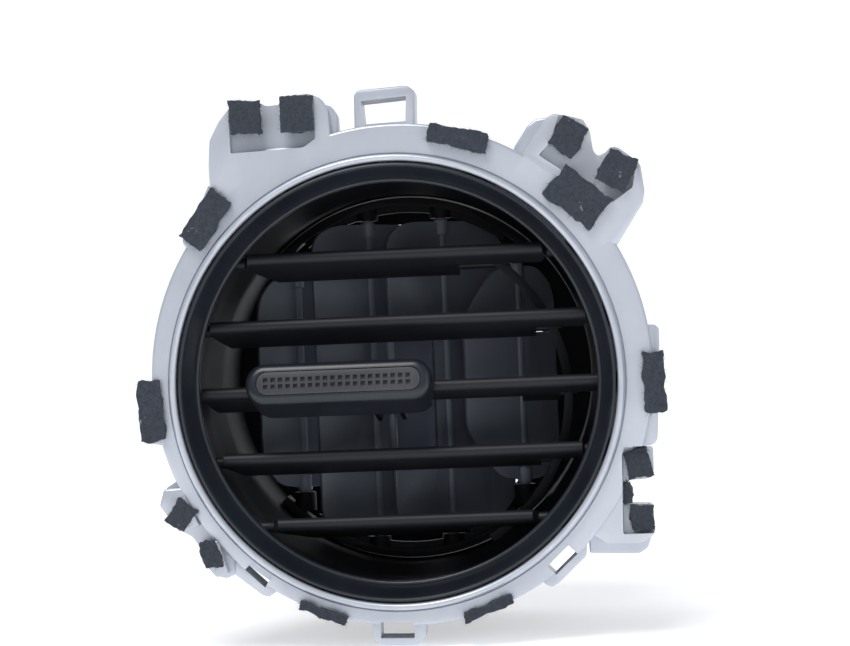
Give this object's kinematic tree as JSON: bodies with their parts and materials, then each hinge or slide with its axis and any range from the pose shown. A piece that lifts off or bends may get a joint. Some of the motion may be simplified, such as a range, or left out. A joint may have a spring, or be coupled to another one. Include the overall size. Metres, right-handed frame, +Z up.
{
  "type": "round dashboard air outlet",
  "caption": "Round car dashboard air outlet: silver bezel with lugs and felt pads, tilting horizontal vanes, and a sliding knob that turns vertical blades behind them.",
  "frame": {"origin": "centre of the round opening, on the plane of the flange skirt's back edge, where it seats on the dashboard", "axes": "+Y into the dashboard along the opening's axis, +X to the right seen from the front, +Z up"},
  "size_m": [0.1085, 0.0665, 0.1147],
  "materials": {
    "silver_paint": "satin silver paint on moulded plastic",
    "satin_black": "satin moulded black",
    "black_plastic": "fine-grained moulded black",
    "vane_plastic": "satin moulded black",
    "blade_plastic": "matt moulded charcoal",
    "grip_rubber": "matt rubber with small square pits",
    "foam": "open-cell foam",
    "felt": "short ragged fibre"
  },
  "bodies": {
    "shell": {"bezel_ring": "silver_paint", "trim_ring": "satin_black", "duct_housing": "black_plastic", "upper_pivot_strip": "black_plastic", "lower_pivot_strip": "black_plastic", "rear_duct_seal": "foam", "felt_top_left_outer": "felt", "felt_top_left_inner": "felt", "felt_upper_left": "felt", "felt_top": "felt", "felt_upper_right_outer": "felt", "felt_upper_right_inner": "felt", "felt_upper_right_lower": "felt", "felt_right": "felt", "felt_lower_right_upper": "felt", "felt_lower_right_middle": "felt", "felt_lower_right_lower": "felt", "felt_bottom_right": "felt", "felt_bottom_left": "felt", "felt_lower_left_upper": "felt", "felt_lower_left_lower": "felt", "felt_left": "felt"},
    "front_vane_1": {"front_vane_1": "vane_plastic"},
    "front_vane_2": {"front_vane_2": "vane_plastic"},
    "front_vane_3": {"front_vane_3": "vane_plastic"},
    "front_vane_4": {"front_vane_4": "vane_plastic"},
    "front_vane_5": {"front_vane_5": "vane_plastic"},
    "vane_link": {"vane_link": "black_plastic"},
    "knob": {"knob_shell": "satin_black", "knob_grip": "grip_rubber", "knob_fork": "black_plastic", "knob_friction_pad": "grip_rubber"},
    "rear_blade_1": {"rear_blade_1": "blade_plastic"},
    "rear_blade_2": {"rear_blade_2": "blade_plastic"},
    "rear_blade_3": {"rear_blade_3": "blade_plastic"},
    "rear_blade_4": {"rear_blade_4": "blade_plastic"},
    "blade_link": {"blade_link": "black_plastic"}
  },
  "joints": [
    {"name": "vane_tilt", "type": "hinge", "parent": "shell", "child": "front_vane_3", "pos_m": [0, 0.008, -0.002], "axis": [1, 0, 0], "range_deg": [-9, 35]},
    {"name": "vane_1_tilt", "type": "hinge", "parent": "shell", "child": "front_vane_1", "pos_m": [0, 0.008, 0.0258], "axis": [1, 0, 0], "range_deg": [-9, 35]},
    {"name": "vane_2_tilt", "type": "hinge", "parent": "shell", "child": "front_vane_2", "pos_m": [0, 0.008, 0.0119], "axis": [1, 0, 0], "range_deg": [-9, 35]},
    {"name": "vane_4_tilt", "type": "hinge", "parent": "shell", "child": "front_vane_4", "pos_m": [0, 0.008, -0.0159], "axis": [1, 0, 0], "range_deg": [-9, 35]},
    {"name": "vane_5_tilt", "type": "hinge", "parent": "shell", "child": "front_vane_5", "pos_m": [0, 0.008, -0.0298], "axis": [1, 0, 0], "range_deg": [-9, 35]},
    {"name": "vane_link_swing", "type": "hinge", "parent": "front_vane_3", "child": "vane_link", "pos_m": [0.035, 0.01628, -0.00391], "axis": [1, 0, 0], "range_deg": [-35, 9]},
    {"name": "knob_slide", "type": "slide", "parent": "front_vane_3", "child": "knob", "axis": [1, 0, 0], "range_m": [0, 0.024]},
    {"name": "blade_1_turn", "type": "hinge", "parent": "shell", "child": "rear_blade_1", "pos_m": [-0.0246, 0.039, 0], "axis": [0, 0, 1], "range_deg": [0, 120]},
    {"name": "blade_2_turn", "type": "hinge", "parent": "shell", "child": "rear_blade_2", "pos_m": [-0.0082, 0.039, 0], "axis": [0, 0, 1], "range_deg": [0, 120]},
    {"name": "blade_3_turn", "type": "hinge", "parent": "shell", "child": "rear_blade_3", "pos_m": [0.0082, 0.039, 0], "axis": [0, 0, 1], "range_deg": [0, 120]},
    {"name": "blade_4_turn", "type": "hinge", "parent": "shell", "child": "rear_blade_4", "pos_m": [0.0246, 0.039, 0], "axis": [0, 0, 1], "range_deg": [0, 120]},
    {"name": "blade_link_swing", "type": "hinge", "parent": "rear_blade_3", "child": "blade_link", "pos_m": [0.01426, 0.0425, 0.0107], "axis": [0, 0, 1], "range_deg": [-120, 0]}
  ],
  "couplings": [
    {"joint": "vane_1_tilt", "follows": "vane_tilt", "ratio": 1},
    {"joint": "vane_2_tilt", "follows": "vane_tilt", "ratio": 1},
    {"joint": "vane_4_tilt", "follows": "vane_tilt", "ratio": 1},
    {"joint": "vane_5_tilt", "follows": "vane_tilt", "ratio": 1},
    {"joint": "vane_link_swing", "follows": "vane_tilt", "ratio": -1},
    {"joint": "blade_1_turn", "follows": "knob_slide", "rad_per_m": 87.26},
    {"joint": "blade_2_turn", "follows": "knob_slide", "rad_per_m": 87.26},
    {"joint": "blade_3_turn", "follows": "knob_slide", "rad_per_m": 87.26},
    {"joint": "blade_4_turn", "follows": "knob_slide", "rad_per_m": 87.26},
    {"joint": "blade_link_swing", "follows": "knob_slide", "rad_per_m": -87.26}
  ]
}
